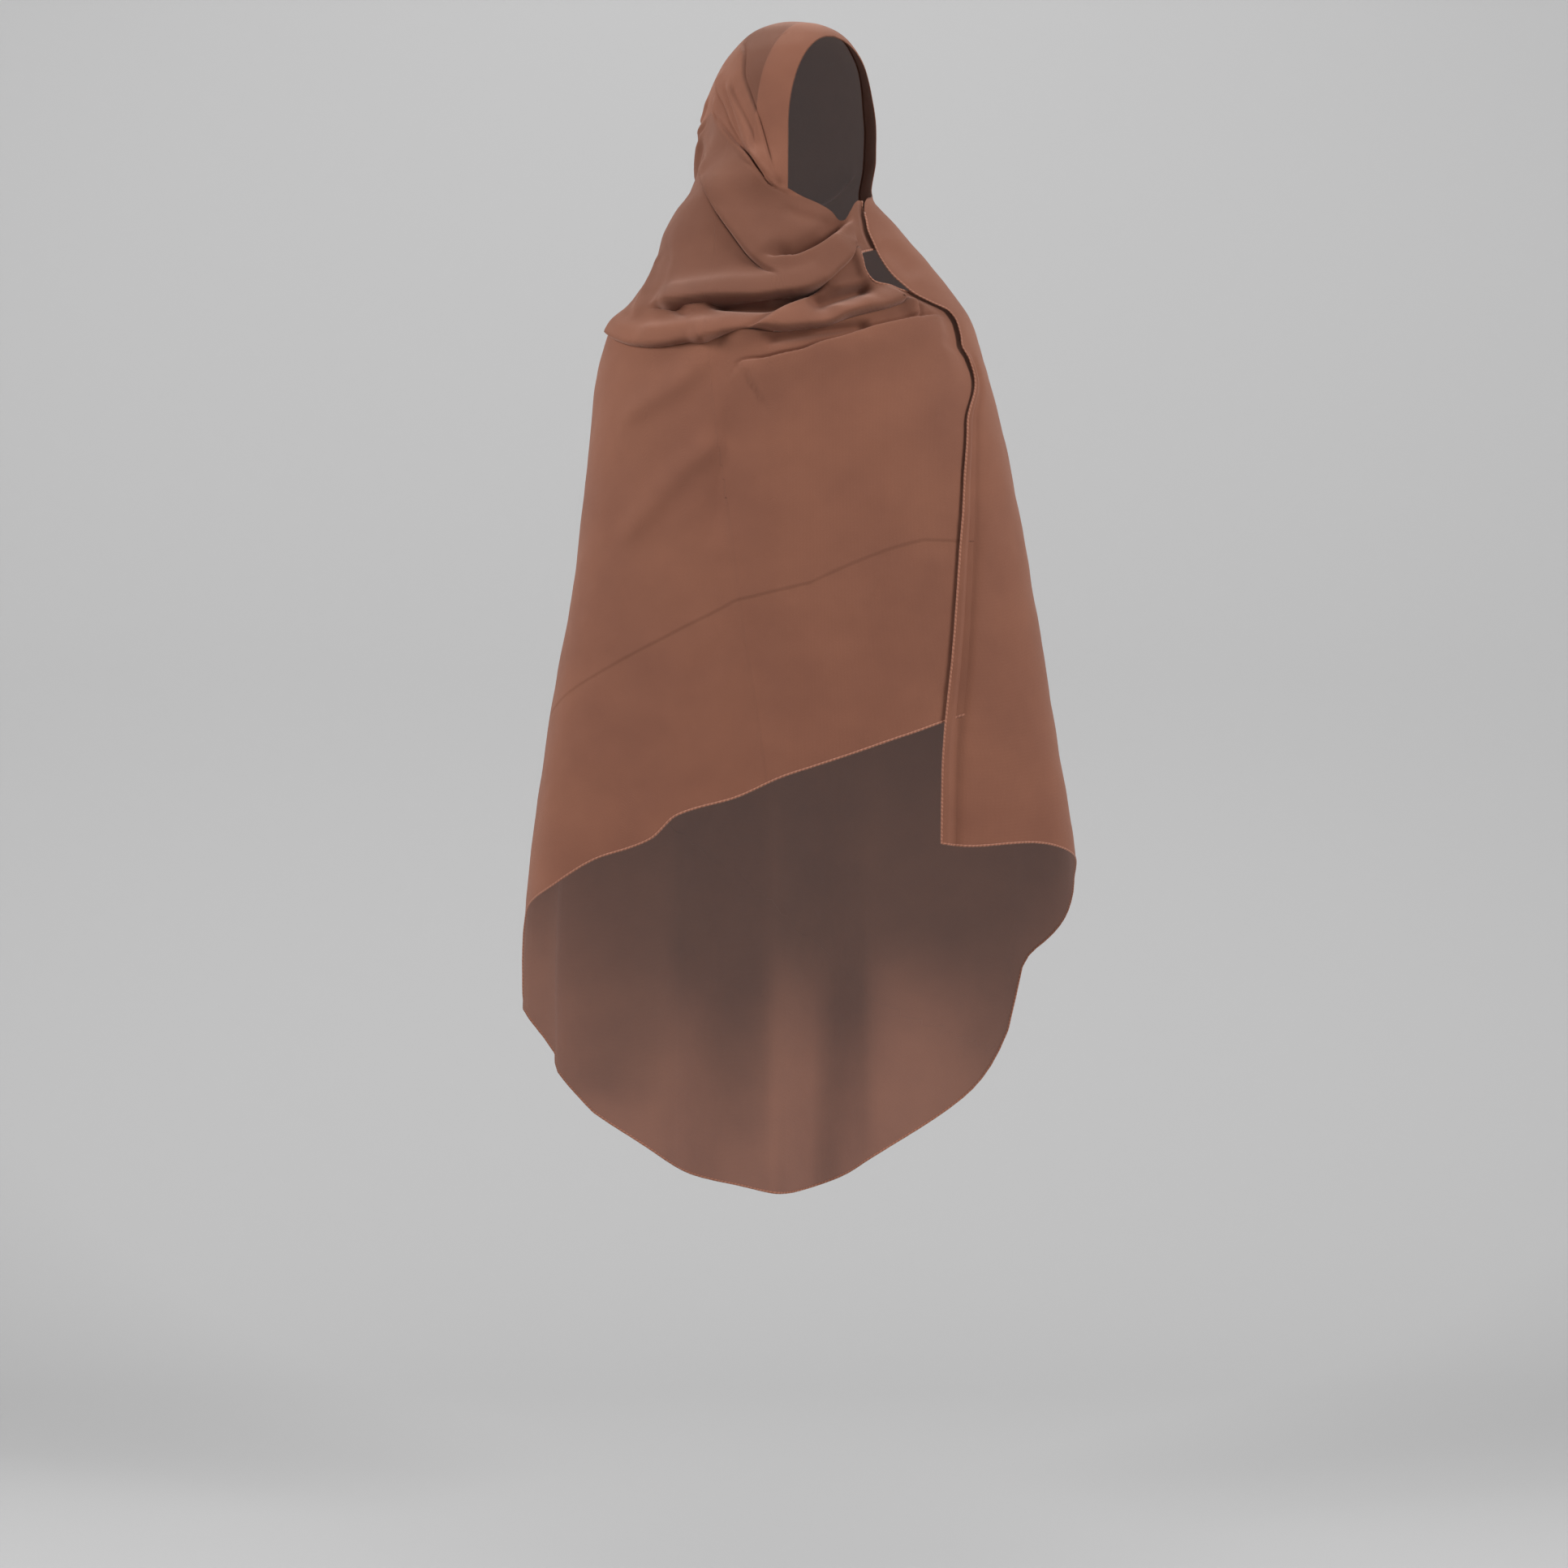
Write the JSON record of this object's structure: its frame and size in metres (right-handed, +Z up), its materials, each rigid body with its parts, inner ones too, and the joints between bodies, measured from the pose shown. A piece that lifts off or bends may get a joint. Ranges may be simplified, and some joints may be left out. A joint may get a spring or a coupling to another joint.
{
  "type": "draped chiffon head scarf",
  "caption": "Large chiffon head scarf in its worn form: turned hood, folds under the chin, long drape over the shoulders, open below.",
  "frame": {"origin": "top of the crown, where the scarf sits on the head", "axes": "+Z up, -Y to the front of the chest, +X towards the side where the hanging end crosses over the front panel; the hood faces 40 degrees from -Y towards +X"},
  "size_m": [0.6458, 0.3361, 1.3937],
  "materials": {
    "chiffon": "matt sheer crepe chiffon",
    "doubled_chiffon": "two layers of matt sheer chiffon",
    "hem": "narrow rolled and stitched hem",
    "pin": "plain polished steel"
  },
  "bodies": {
    "root": {"scarf_cloth": "chiffon", "face_band": "doubled_chiffon", "rolled_hem": "hem", "wrap_pin": "pin"}
  },
  "joints": []
}
